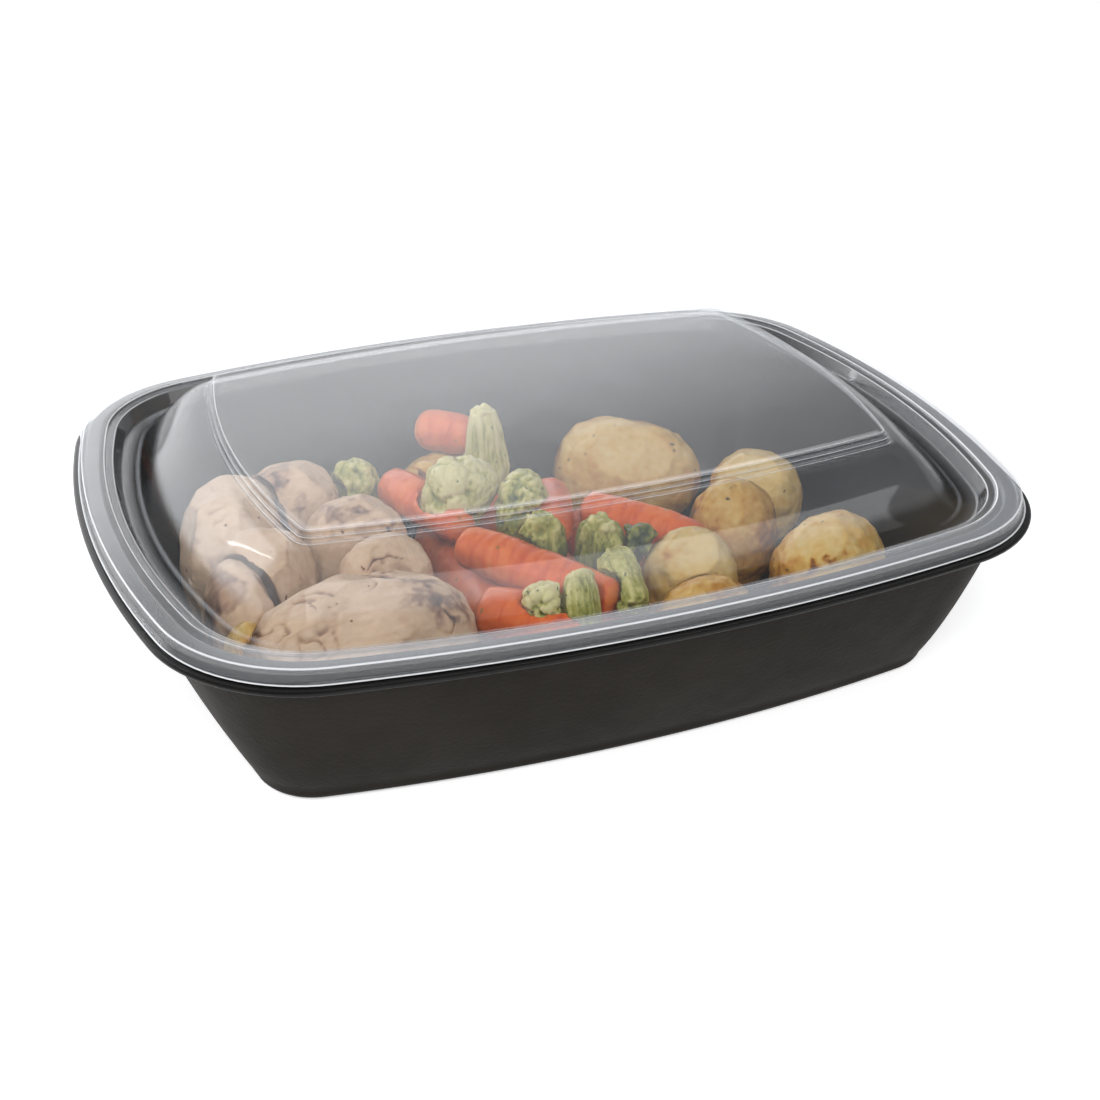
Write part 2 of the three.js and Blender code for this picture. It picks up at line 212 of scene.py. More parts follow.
# black moulded plastic of the tray, matt outside and glossy on the rim and inside
trayLook = {
    "clouds": {"Scale": 45, "Detail": 3, "Low": 0.35, "High": 0.75},
    "unevenScale": 140,
    "matt": {
        "base": colour(0.0142, 0.0118, 0.0097), "worn": colour(0.0180, 0.0153, 0.0128),
        "roughness": 0.6, "shine": 0.07, "bumpScale": 900, "bumpDepth": 0.00012,
    },
    "gloss": {
        "base": colour(0.0075, 0.007, 0.0068), "worn": colour(0.011, 0.0105, 0.010),
        "roughness": 0.16, "shine": 0.45, "bumpScale": 70, "bumpDepth": 0.00002,
    },
    "rim": {
        "base": colour(0.0075, 0.007, 0.0068), "worn": colour(0.011, 0.0105, 0.010),
        "roughness": 0.22, "shine": 0.2, "bumpScale": 70, "bumpDepth": 0.00002,
    },
}


def trayMaterial(name, finish):
    made, tree = newMaterial(name)
    place = placeOf(tree)
    clouds = useGroup(tree, mottle, {**trayLook["clouds"], "Base": finish["base"], "Patch": finish["worn"]})
    wire(tree, place, clouds.inputs["Place"])
    skin = addNode(tree, "ShaderNodeBsdfPrincipled")
    skin.inputs["Specular IOR Level"].default_value = finish["shine"]
    wire(tree, clouds.outputs["Colour"], skin.inputs["Base Color"])
    uneven = addNode(tree, "ShaderNodeMapRange")
    uneven.inputs["To Min"].default_value = finish["roughness"] * 0.9
    uneven.inputs["To Max"].default_value = finish["roughness"] * 1.15
    wire(tree, heightOf(tree, place, trayLook["unevenScale"], 1), uneven.inputs["Value"])
    wire(tree, uneven.outputs["Result"], skin.inputs["Roughness"])
    texture = heightOf(tree, place, finish["bumpScale"], 1)
    wire(tree, bumpOf(tree, texture, finish["bumpDepth"]), skin.inputs["Normal"])
    finishMaterial(tree, skin.outputs[0])
    return made


trayMatt = trayMaterial("trayMatt", trayLook["matt"])
trayGloss = trayMaterial("trayGloss", trayLook["gloss"])
trayRim = trayMaterial("trayRim", trayLook["rim"])

# clear, slightly hazy plastic of the lid: a thin milky veil over a see-through sheet, with its own gloss
lidLook = {
    "clear": colour(0.97, 0.975, 0.98),
    "veilColour": colour(0.80, 0.83, 0.88),
    "veilLow": 0.025,
    "veilHigh": 0.045,
    "veilScale": 30,
    "milkRoughness": 0.6,
    # painted highlight: colour of the white lines along the folds, and how much veil they add
    "highlightColour": colour(0.95, 0.955, 0.97),
    "highlightVeil": 0.8,
    "glossRoughness": 0.045,
    "glossLow": 0.045,
    "glossHigh": 0.38,
    "glossRise": 5,
    "shadeLeft": 0.12,
    "waveScale": 55,
    "waveDepth": 0.00012,
    "waveStrength": 0.35,
}


def lidMaterial():
    made, tree = newMaterial("lidClear")
    place = placeOf(tree)
    # painted on the sheet: a painted highlight, how white a fold or the front flange shows, and painted
    # shade, how much gloss and veil a shaded place loses
    fold = addNode(tree, "ShaderNodeAttribute", {"attribute_name": "fold"})
    shade = addNode(tree, "ShaderNodeAttribute", {"attribute_name": "shade"})
    bare = addNode(tree, "ShaderNodeMapRange", To_Min=1, To_Max=lidLook["shadeLeft"])
    wire(tree, shade.outputs["Fac"], bare.inputs["Value"])
    veil = addNode(tree, "ShaderNodeMapRange", To_Min=lidLook["veilLow"], To_Max=lidLook["veilHigh"])
    wire(tree, heightOf(tree, place, lidLook["veilScale"], 1), veil.inputs["Value"])
    thinned = addNode(tree, "ShaderNodeMath", {"operation": "MULTIPLY"})
    wire(tree, veil.outputs["Result"], thinned.inputs[0])
    wire(tree, bare.outputs["Result"], thinned.inputs[1])
    veilAndHighlight = addNode(tree, "ShaderNodeMath", {"operation": "MULTIPLY_ADD", "use_clamp": True})
    wire(tree, fold.outputs["Fac"], veilAndHighlight.inputs[0])
    veilAndHighlight.inputs[1].default_value = lidLook["highlightVeil"]
    wire(tree, thinned.outputs[0], veilAndHighlight.inputs[2])
    tint = addNode(tree, "ShaderNodeMix", {"data_type": "RGBA"})
    wire(tree, fold.outputs["Fac"], tint.inputs[0])
    tint.inputs[6].default_value = lidLook["veilColour"]
    tint.inputs[7].default_value = lidLook["highlightColour"]
    seeThrough = addNode(tree, "ShaderNodeBsdfTransparent", Color=lidLook["clear"])
    milkAndSheen = addNode(tree, "ShaderNodeBsdfPrincipled", Roughness=lidLook["milkRoughness"])
    wire(tree, tint.outputs[2], milkAndSheen.inputs["Base Color"])
    milkAndSheen.inputs["Specular IOR Level"].default_value = 0
    body = addNode(tree, "ShaderNodeMixShader")
    wire(tree, veilAndHighlight.outputs[0], body.inputs[0])
    wire(tree, seeThrough.outputs[0], body.inputs[1])
    wire(tree, milkAndSheen.outputs[0], body.inputs[2])
    # gloss over waves too shallow to model, stronger the flatter it is looked at
    swell = heightOf(tree, place, lidLook["waveScale"], 0)
    waves = bumpOf(tree, swell, lidLook["waveDepth"], lidLook["waveStrength"])
    shine = addNode(tree, "ShaderNodeBsdfAnisotropic", Roughness=lidLook["glossRoughness"])
    shine.inputs["Color"].default_value = colour(1, 1, 1)
    wire(tree, waves, shine.inputs["Normal"])
    facing = addNode(tree, "ShaderNodeLayerWeight", Blend=0.5)
    wire(tree, waves, facing.inputs["Normal"])
    steep = addNode(tree, "ShaderNodeMath", {"operation": "POWER"})
    wire(tree, facing.outputs["Facing"], steep.inputs[0])
    steep.inputs[1].default_value = lidLook["glossRise"]
    lifted = addNode(tree, "ShaderNodeMath", {"operation": "MULTIPLY_ADD", "use_clamp": True})
    wire(tree, steep.outputs[0], lifted.inputs[0])
    lifted.inputs[1].default_value = lidLook["glossHigh"] - lidLook["glossLow"]
    lifted.inputs[2].default_value = lidLook["glossLow"]
    dimmed = addNode(tree, "ShaderNodeMath", {"operation": "MULTIPLY"})
    wire(tree, lifted.outputs[0], dimmed.inputs[0])
    wire(tree, bare.outputs["Result"], dimmed.inputs[1])
    whole = addNode(tree, "ShaderNodeMixShader")
    wire(tree, dimmed.outputs[0], whole.inputs[0])
    wire(tree, body.outputs[0], whole.inputs[1])
    wire(tree, shine.outputs[0], whole.inputs[2])
    finishMaterial(tree, whole.outputs[0])
    return made


lidClear = lidMaterial()
print("plastics ready")


# outlines of the container, the same as the solids have, in millimetres from its middle
def arcPoints(centre, radius, start, end, count):
    angles = start + (end - start) * np.arange(count) / count
    return np.stack([centre[0] + radius * np.cos(angles), centre[1] + radius * np.sin(angles)], 1)


around = {"short": 12, "corner": 16, "long": 16}  # points on each stretch of a quarter outline


def bowedOutline(halfLength, halfWidth, bowLong, bowShort, corner):
    longRadius = (halfLength**2 + bowLong**2) / (2 * bowLong)
    shortRadius = (halfWidth**2 + bowShort**2) / (2 * bowShort)
    longCentre = np.array([0, halfWidth - longRadius])
    shortCentre = np.array([halfLength - shortRadius, 0])
    dx, dy = shortCentre - longCentre
    span = math.hypot(dx, dy)
    r1, r2 = longRadius - corner, shortRadius - corner
    along = (r1 * r1 - r2 * r2 + span * span) / (2 * span)
    across = math.sqrt(max(r1 * r1 - along * along, 0))
    centre = longCentre + np.array([dx * along + dy * across, dy * along - dx * across]) / span
    shortAngle = math.atan2(centre[1] - shortCentre[1], centre[0] - shortCentre[0])
    longAngle = math.atan2(centre[1] - longCentre[1], centre[0] - longCentre[0])
    quarter = np.concatenate([
        arcPoints(shortCentre, shortRadius, 0, shortAngle, around["short"]),
        arcPoints(centre, corner, shortAngle, longAngle, around["corner"]),
        arcPoints(longCentre, longRadius, longAngle, math.pi / 2, around["long"]),
        [[0, halfWidth]],
    ])
    forth, back = quarter[:-1], quarter[:0:-1]
    return np.concatenate([forth, back * (-1, 1), forth * (-1, -1), back * (1, -1)])


# half sizes, how far the sides bow and the corner radius; the heights are above the table
lidShape = {
    "halfLength": 112.5, "halfWidth": 87.4, "bowLong": 13.2, "bowShort": 15.8, "corner": 36.6,
    "skirtFoot": 45.2, "flangeTop": 48.6, "troughFloor": 44.6, "shoulder": 58.5, "panel": 61.6,
    "footInset": 13, "stepSpread": 2.3, "lip": 0.7, "tabReach": 6, "sheet": 0.45, "dish": 0.12,
}
panelShape = {
    "halfLength": 78.4, "halfWidth": 51.5, "bowLong": 6.6, "bowShort": 7.3, "corner": 2.8, "least": 0.6,
}
trayShape = {
    "halfLength": 88.7, "halfWidth": 63.4, "bowLong": 7.9, "bowShort": 6.5, "corner": 11.5, "fillet": 3,
    "wallInset": 3.8, "wallCorner": 31.9, "wallTop": 42.6, "bulge": 0.694, "leastCorner": 4,
    "sheet": 0.85, "floorTop": 1, "rimUnder": 43.3, "rimTop": 47.85, "rimReach": 2.06, "shineFrom": 1.3,
}


def withHeight(points, z):
    return np.column_stack([points, np.full(len(points), z)])


def lidRing(inset, z):
    s = lidShape
    long, wide = s["halfLength"] - inset, s["halfWidth"] - inset
    return withHeight(bowedOutline(long, wide, s["bowLong"], s["bowShort"], s["corner"] - inset), z)


def panelRing(outset, z):
    s = panelShape
    long, wide = s["halfLength"] + outset, s["halfWidth"] + outset
    corner = max(s["corner"] + outset, s["least"])
    return withHeight(bowedOutline(long, wide, s["bowLong"], s["bowShort"], corner), z)


# outline of the bulging wall at a height, widening from the foot to just under the rim
def wallRing(z, inset=0, height=None):
    s = trayShape
    g = (min(z if height is None else height, s["wallTop"]) / s["wallTop"]) ** s["bulge"]

    def mix(low, high):
        return low + (high - low) * g

    long = mix(s["halfLength"], lidShape["halfLength"] - s["wallInset"]) - inset
    wide = mix(s["halfWidth"], lidShape["halfWidth"] - s["wallInset"]) - inset
    corner = max(mix(s["corner"], s["wallCorner"]) - inset, s["leastCorner"])
    bows = mix(s["bowLong"], lidShape["bowLong"]), mix(s["bowShort"], lidShape["bowShort"])
    return withHeight(bowedOutline(long, wide, *bows, corner), z)


# a profile of (inset, height, radius), with each corner rounded by its radius
def roundedProfile(points, bits=5):
    made = []
    for i, (x, z, radius) in enumerate(points):
        here = np.array([x, z])
        if radius == 0 or i in (0, len(points) - 1):
            made.append(here)
            continue
        before = np.array(points[i - 1][:2]) - here
        after = np.array(points[i + 1][:2]) - here
        sides = np.linalg.norm(before), np.linalg.norm(after)
        half = math.acos(np.clip(before @ after / (sides[0] * sides[1]), -1, 1)) / 2
        reach = min(radius / math.tan(half), sides[0] * 0.49, sides[1] * 0.49)
        first, last = here + before / sides[0] * reach, here + after / sides[1] * reach
        for t in np.linspace(0, 1, bits):
            made.append(first * (1 - t) ** 2 + here * 2 * t * (1 - t) + last * t * t)
    return made


# one skin through all rings, closed by a fan at its end and, unless told otherwise, at its start
def loftRings(name, rings, closeStart=True):
    count = len(rings[0])
    points = np.concatenate(rings) * mm
    faces = []
    for i in range(len(rings) - 1):
        for j in range(count):
            k = (j + 1) % count
            a, b = i * count, (i + 1) * count
            faces.append((a + j, a + k, b + k, b + j))
    mesh = bpy.data.meshes.new(name)
    ends = [(rings[0], 0)] if closeStart else []
    ends.append((rings[-1], (len(rings) - 1) * count))
    middles = []
    for ring, first in ends:
        middle = len(points) + len(middles)
        middles.append([0, 0, ring[:, 2].mean() * mm])
        for j in range(count):
            k = (j + 1) % count
            faces.append((middle, first + k, first + j) if first == 0 else (middle, first + j, first + k))
    mesh.from_pydata([tuple(p) for p in np.concatenate([points, middles])], [], faces)
    mesh.update()
    mesh.shade_smooth()
    obj = bpy.data.objects.new(name, mesh)
    bpy.context.scene.collection.objects.link(obj)
    return obj


def shrunkRings(ring, z, shares):
    return [np.column_stack([ring[:, :2] * share, np.full(len(ring), z)]) for share in shares]


# what the modifiers make becomes the mesh itself
def applyModifiers(obj):
    bpy.context.view_layer.update()
    graph = bpy.context.evaluated_depsgraph_get()
    made = bpy.data.meshes.new_from_object(obj.evaluated_get(graph))
    old = obj.data
    obj.modifiers.clear()
    obj.data = made
    obj.data.name = obj.name
    bpy.data.meshes.remove(old)
    return obj


# one value from 0 to 1 on each point, for a material to read
def paint(mesh, label, values):
    layer = mesh.attributes.new(label, "FLOAT", "POINT")
    layer.data.foreach_set("value", np.clip(values, 0, 1).astype(np.float32))


# 0 below low, 1 above high and a soft step between; the other way round where low is the larger
def ease(values, low, high):
    t = np.clip((values - low) / (high - low), 0, 1)
    return t * t * (3 - 2 * t)


# tray: one closed skin, up the bulging wall, over the rolled rim, and down inside
def makeTray():
    s = trayShape
    base = wallRing(0, s["fillet"], s["fillet"])
    rings = shrunkRings(base, 0, [0.2, 0.5, 0.8, 0.97])
    for a in np.linspace(0, math.pi / 2, 7):
        rings.append(wallRing(s["fillet"] * (1 - math.cos(a)), s["fillet"] * (1 - math.sin(a)), s["fillet"]))
    for z in np.linspace(s["fillet"], s["wallTop"], 16)[1:]:
        rings.append(wallRing(z))
    outerEnd = rimEnd = len(rings)
    reach = s["rimReach"]
    # insets from the lid's outline: up the hidden side, under and round the lip, over the rim
    profile = [
        (3.8, s["wallTop"], 0), (3.6, s["rimTop"] - 1.4, 0.3), (3.2, s["rimTop"] - 0.95, 0.3),
        (2.2, s["rimTop"] - 0.95, 0.3), (1.8, s["rimTop"] - 1.5, 0.3), (1.5, s["rimUnder"] + 0.5, 0.3),
        (1, s["rimUnder"], 0.2), (0.3 - reach, s["rimUnder"], 0.3), (-reach, s["rimUnder"] + 0.25, 0.3),
        (-reach, s["rimUnder"] + 0.8, 0.3), (0.4 - reach, s["rimUnder"] + 1.1, 0.3),
        (0.5, s["rimUnder"] + 1.1, 0.4), (0.85, s["rimUnder"] + 1.6, 0.4), (1.05, s["rimTop"] - 0.8, 0.5),
        (1.6, s["rimTop"], 0.7), (4.1, s["rimTop"], 0.7), (4.75, s["rimTop"] - 0.8, 0.5),
        (4.65, s["wallTop"], 0),
    ]
    for inset, z in roundedProfile(profile)[1:-1]:
        rings.append(lidRing(inset, z))
        rimEnd = len(rings) if inset < s["shineFrom"] else rimEnd
    for z in np.linspace(s["wallTop"], s["fillet"] + s["floorTop"], 16):
        rings.append(wallRing(z, s["sheet"]))
    for a in np.linspace(math.pi / 2, 0, 7)[1:]:
        inset = s["sheet"] + s["fillet"] * (1 - math.sin(a))
        rings.append(wallRing(s["floorTop"] + s["fillet"] * (1 - math.cos(a)), inset, s["fillet"]))
    rings += shrunkRings(rings[-1], s["floorTop"], [0.97, 0.8, 0.5, 0.2])
    tray = loftRings("trayShell", rings)
    for made in (trayMatt, trayGloss, trayRim):
        tray.data.materials.append(made)
    perRing = len(rings[0])
    for face in tray.data.polygons:
        level = face.index // perRing
        underside = level < outerEnd or level == len(rings) - 1  # the first fan of faces closes it
        face.material_index = 0 if underside else 2 if level < rimEnd else 1
    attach(tray, "root")
    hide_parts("tray")


makeTray()
print("tray made")


# foot of the skirt, drawn out into the lifting tab at one corner
def lipRing(inset, z):
    ring, inner = lidRing(inset, z), lidRing(0, z)
    perQuarter = around["short"] + around["corner"] + around["long"]
    middle = perQuarter + around["long"] + around["corner"] / 2
    share = -inset / lidShape["lip"]
    for i in range(len(ring)):
        away = abs(i - middle) / (around["corner"] / 5)
        if away < 2.4 and share > 0.2:
            reach = lidShape["tabReach"] * (1 - min(max(away - 0.4, 0) / 2, 1)) ** 1.3 * share
            out = ring[i, :2] - inner[i, :2]
            ring[i, :2] += out / np.linalg.norm(out) * reach
    return ring


# what is painted on the lid: painted highlight along the folds, painted sheen on the front flange and
# painted shade in the trough and at the wall's foot, with the insets in millimetres where they lie
lidPaint = {
    "lip": (0.9, 0.9, 0.5),
    "endsFrom": (0.66, 0.86),  # shares of the half length over which a long side turns into an end
    "frontFrom": (0.1, 0.6),
    "flange": (0.5, 6), "flangeSheen": 0.13,
    "long": (7, 13), "longWhite": 0.35, "longShade": 0.8,
    "step": (8.6, 10.8), "stepShade": 0.2, "trough": (10.8, 13), "troughShade": 1.0,
    "footWhite": 0.14, "footShade": 1.0, "footFade": (0.2, 0.32),
}


# the folds of the sheet catch light, so each ring holds how white its painted highlight is, and how much
# painted shade it has
def makeLid():
    s = lidShape
    rings, foldHighlights, shades = [], [], []

    def add(ring, white=0.0, shade=0.0, longSide=1.0, milkAndSheen=0.0):
        across, along = ring[:, 0] / s["halfLength"], ring[:, 1] / s["halfWidth"]
        ends = ease(np.abs(across), *lidPaint["endsFrom"])
        front = ease(0.5 * across - along, *lidPaint["frontFrom"])
        rings.append(ring)
        # painted highlight along the folds plus painted sheen on the front flange, then the painted shade
        foldHighlights.append(white * (longSide + (1 - longSide) * ends) + milkAndSheen * front)
        shades.append(shade * (lidPaint["longShade"] + (1 - lidPaint["longShade"]) * ends))

    def within(inset, band):
        low, high = lidPaint[band]
        return low < inset < high

    def addProfile(points, ringAt):
        for i, (_, _, radius, white) in enumerate(points):
            corner = roundedProfile([p[:3] for p in points[max(i - 1, 0):i + 2]], 7)
            corner = corner[1:-1] if 0 < i < len(points) - 1 else [np.array(points[i][:2])]
            for k, (inset, z) in enumerate(corner):
                t = k / max(len(corner) - 1, 1)
                shown = white if radius == 0 else 0.0
                if radius > 0 and 0 < t < 1:
                    shown = white * math.sin(math.pi * t) ** 0.7
                shade = lidPaint["troughShade"] if within(inset, "trough") else 0.0
                shade = lidPaint["stepShade"] if shade == 0 and within(inset, "step") else shade
                longSide = lidPaint["longWhite"] if within(inset, "long") else 1.0
                onFlange = ringAt is lidRing and within(inset, "flange")
                add(ringAt(inset, z), shown, shade, longSide, lidPaint["flangeSheen"] if onFlange else 0.0)

    # the lip's rings carry a painted highlight
    for share, rise, white in zip((1, 1, 0.6), (-0.12, 0, 0.04), lidPaint["lip"]):
        add(lipRing(-s["lip"] * share, s["skirtFoot"] + rise), white)
    # inset, height, corner radius and whiteness of the painted highlight: skirt, flange, small step, then
    # the trough's floor
    addProfile([
        (-0.3, s["skirtFoot"] + 0.05, 0, 0), (0, s["skirtFoot"] + 0.15, 0, 0),
        (0.2, s["flangeTop"] - 0.8, 0, 0), (0.35, s["flangeTop"], 0.75, 0.75),
        (5.7, s["flangeTop"], 0.45, 0.9), (6.1, s["flangeTop"] - 0.55, 0.4, 0.1),
        (7.7, s["flangeTop"] - 0.65, 0.45, 0.7), (9.2, s["troughFloor"] + 0.6, 0, 0),
        (9.6, s["troughFloor"], 0.8, 0), (12.4, s["troughFloor"], 0, 0),
    ], lidRing)
    # the domed wall, from its foot in the trough to the shoulder under the panel
    foot, shoulder = lidRing(s["footInset"], s["troughFloor"]), panelRing(s["stepSpread"], s["shoulder"])
    rise = s["shoulder"] - s["troughFloor"]
    for g in np.concatenate([[0.015], np.linspace(0.04, 1, 22)]):
        height = s["troughFloor"] + rise * (g + g * g - g**3)
        share = foot[:, :2] + (shoulder[:, :2] - foot[:, :2]) * g
        # a painted highlight on the first ring, and painted shade fading out up the foot of the wall
        white = lidPaint["footWhite"] if g == 0.015 else 0.0
        shade = lidPaint["footShade"] * (1 - float(ease(g, *lidPaint["footFade"])))
        add(withHeight(share, height), white, shade, 0.0)
    # outset from the panel's outline: two small steps up, the edge with its painted highlight, then the
    # dished panel
    top = s["panel"]
    flat = top - s["dish"]
    addProfile([
        (s["stepSpread"], s["shoulder"], 0, 0), (1.95, s["shoulder"] + 0.75, 0.2, 0.3),
        (1.5, s["shoulder"] + 0.95, 0.25, 0.1), (1.2, s["shoulder"] + 1.85, 0.2, 0.35),
        (0.8, s["shoulder"] + 2.05, 0.25, 0.12), (0.4, flat, 0.3, 0.15),
        (0, top, 0.5, 0.95), (-1.6, flat, 0.5, 0), (-4, flat, 0, 0),
    ], panelRing)
    for ring in shrunkRings(rings[-1], flat, [0.9, 0.75, 0.55, 0.35, 0.15]):
        add(ring)
    lid = loftRings("lidSheet", rings, closeStart=False)
    paint(lid.data, "fold", np.append(np.concatenate(foldHighlights), 0))
    paint(lid.data, "shade", np.append(np.concatenate(shades), 0))
    thick = lid.modifiers.new("sheet", "SOLIDIFY")
    thick.thickness = s["sheet"] * mm
    thick.offset = -1
    applyModifiers(lid)
    lid.data.shade_smooth()
    lid.data.materials.append(lidClear)
    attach(lid, "root")
    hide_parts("lid")


makeLid()
print("lid made")


# food: each piece starts from its solid, is made smooth and fine, and is then shaped and toned
# a repeatable value from -1 to 1 for each whole-numbered cell
def latticeAt(cell, seed):
    h = cell[:, 0] * 374761393 + cell[:, 1] * 668265263 + cell[:, 2] * 1440662683
    h = h + int(seed * 7919 + 13) * 362437
    h = ((h ^ (h >> 13)) * 1274126177) & 0xFFFFFFFF
    return ((h ^ (h >> 16)) & 0xFFFF) / 32767.5 - 1


# smooth noise from -1 to 1, with patches of about that many millimetres
def cloudAt(points, size, seed=0.0, octaves=1):
    total, weight, weights = 0, 1, 0
    for octave in range(octaves):
        place = points / size * 2**octave + seed * 0.37
        cell = np.floor(place).astype(np.int64)
        t = place - cell
        t = t * t * t * (t * (t * 6 - 15) + 10)
        value = 0
        for corner in range(8):
            side = np.array([corner & 1, corner >> 1 & 1, corner >> 2 & 1])
            share = np.prod(np.where(side == 1, t, 1 - t), 1)
            value = value + share * latticeAt(cell + side, seed + octave * 5)
        total, weights, weight = total + value * weight, weights + weight, weight * 0.5
    return total / weights


# how far each point is from the nearest of many scattered centres
def cellsAt(points, size, seed):
    shift = Vector((seed * 2.3, seed * 6.1, seed * 4.7))
    return np.array([noise.voronoi(Vector(p) / size + shift)[0][0] for p in points])


# thin winding lines, 1 on the line and 0 away from it
def linesAt(points, size, width, seed):
    return ease(np.abs(cloudAt(points, size, seed, 2)), width, 0)


# middle of a piece, and its own directions from the longest to the shortest
def ownAxes(points):
    centre = points.mean(0)
    sample = (points - centre)[:: max(len(points) // 2000, 1)]
    return centre, np.linalg.svd(sample, full_matrices=False)[2]


def fineCopy(name, node, voxel, smoothing):
    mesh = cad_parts[node].data.copy()
    mesh.materials.clear()
    obj = bpy.data.objects.new(name, mesh)
    bpy.context.scene.collection.objects.link(obj)
    fine = obj.modifiers.new("fine", "REMESH")
    fine.mode, fine.voxel_size = "VOXEL", voxel * mm
    soft = obj.modifiers.new("soft", "SMOOTH")
    soft.factor, soft.iterations = 0.5, smoothing
    return applyModifiers(obj)


def readPoints(mesh):
    flat = np.empty(len(mesh.vertices) * 3)
    mesh.vertices.foreach_get("co", flat)
    normals = np.empty(len(mesh.vertices) * 3)
    mesh.vertices.foreach_get("normal", normals)
    return flat.reshape(-1, 3) / mm, normals.reshape(-1, 3)


def turnedFrom(normals, face):
    return 1 - normals @ (np.array(face) / np.linalg.norm(face))


# points pushed about a little, so that what follows from them winds
def warped(points, size, push, seed):
    return points + push * np.stack([cloudAt(points, size, seed + i, 2) for i in range(3)], 1)


# 1 at the foot of a piece, where its neighbours shade it, and 0 near its top
def footOf(points, low, high):
    return ease(points[:, 2].max() - points[:, 2], low, high)


# flattens a piece where it was cut, and tells the cut faces and their edges by a 1
def sliced(points, cuts):
    face, edge = np.zeros(len(points)), np.zeros(len(points))
    for direction, depth in cuts:
        way = np.array(direction) / np.linalg.norm(direction)
        over = points @ way
        over = over - over.max() + depth
        points = points - np.outer(np.clip(over, 0, None) * 0.92, way)
        face = np.maximum(face, ease(over, 0, 0.4))
        edge = np.maximum(edge, ease(np.abs(over), 0.6, 0))
    return points, face, edge


# each shaper gives how far every point moves out, in millimetres, and its tone from 0 to 1; a piece
# in foodPieces may have its own value for whatever stands here
shapeDefaults = {
    "chicken": {
        "tone": 0.17, "cracks": 0.36, "char": 0.3, "skin": 0.28, "face": (-0.2, -0.35, 0.9), "torn": [],
    },
    "carrot": {"tone": 0.4},
    "stalk": {"foot": 0.25, "ridges": 2.2, "axis": None},
    "floret": {"foot": 0.2, "buds": 4.2},
    "potato": {"foot": 0.22, "brown": 0.3, "rim": 0.25, "face": (-0.3, -0.75, 0.6)},
}


def shapeChicken(points, normals, look):
    seed = look["seed"]
    _, axes = ownAxes(points)
    bent = warped(points, 6, 2.2, seed + 20)
    fibres = cloudAt((points @ axes.T) / (5, 1, 1), 1.4, seed + 8, 2)
    out = 1.4 * cloudAt(points, 15, seed, 2) + 0.22 * cloudAt(points, 3, seed + 9, 2) + 0.14 * fibres - 0.8
    tone = look["tone"] + 0.1 * cloudAt(points, 11, seed + 1, 3) + 0.06 * fibres
    torn = ease(cloudAt(points, 12, seed + 5, 2), 0.2, 0.5)
    for place, radius in look["torn"]:
        torn = np.maximum(torn, ease(np.linalg.norm(points - place, axis=1), radius, radius * 0.5))
    crack = linesAt(bent * (1.3, 1.3, 0.5), 7, 0.17, seed + 4) * torn
    patch = ease(cloudAt(bent, 12, seed + 6, 4), 0.2, 0.42)
    # cracks sink in and take painted shade; the patches are char
    out -= 0.5 * crack + 0.3 * patch
    tone += look["cracks"] * crack + look["char"] * patch
    skin = ease(turnedFrom(normals, look["face"]), 0.6, 1.3)
    tone += look["skin"] * skin * (0.8 + 0.6 * cloudAt(points, 6, seed + 7, 2))
    return out, tone


def shapeCarrot(points, normals, look):
    seed = look["seed"]
    centre, axes = ownAxes(points)
    along = (points - centre) @ axes[0]
    drift = along / 1.7 + 0.5 * cloudAt(points, 9, seed + 3)
    rings = cloudAt(np.stack([drift, drift * 0, drift * 0], 1), 1, seed)
    scars = np.stack([along * 2.2, points[:, 1] * 0.5, points[:, 2] * 0.5], 1)
    pits = linesAt(scars, 6, 0.12, seed + 1)
    out = 0.4 * cloudAt(points, 9, seed, 2) - 0.15 + 0.08 * rings - 0.22 * pits
    ends = ease(np.abs(normals @ axes[0]), 0.55, 0.9)
    tone = look["tone"] + 0.3 * cloudAt(points, 10, seed + 5, 3) + 0.1 * rings - 0.18 * ends + 0.2 * pits
    return out, tone


def shapeStalk(points, normals, look):
    seed = look["seed"]
    centre, axes = ownAxes(points)
    if look["axis"]:
        main = np.array(look["axis"]) / np.linalg.norm(look["axis"])
        side = np.cross(main, (0, 1, 0.01))
        side /= np.linalg.norm(side)
        axes = np.stack([main, side, np.cross(main, side)])
    local = (points - centre) @ axes.T
    angle = np.arctan2(local[:, 2], local[:, 1])
    turned = np.stack([np.cos(angle) * look["ridges"], np.sin(angle) * look["ridges"], local[:, 0] / 16], 1)
    ridge = cloudAt(turned, 1, seed, 2)
    groove = linesAt(turned * (1.7, 1.7, 1), 1, 0.16, seed + 6)
    ends = ease(np.abs(normals @ axes[0]), 0.4, 0.8)
    sides = 1 - ends
    crumbs = cloudAt(points, 2.0, seed + 2, 2)
    out = (1.0 * ridge - 0.6 * groove) * sides + 1.7 * crumbs * ends - 0.6
    out += 0.4 * cloudAt(points, 6, seed + 3, 2)
    # painted shade in the grooves and a painted highlight on the ridges
    tone = look["tone"] + (0.26 * groove - 0.25 * ridge) * sides + 0.18 * cloudAt(points, 4, seed + 4, 3)
    tone -= 0.12 * ends + 0.35 * crumbs * ends
    # painted shade on the undersides, and at the foot through footOf
    tone += 0.22 * ease(-normals[:, 2], -0.2, 0.9) + look["foot"] * footOf(points, 3, 16)
    return out, tone


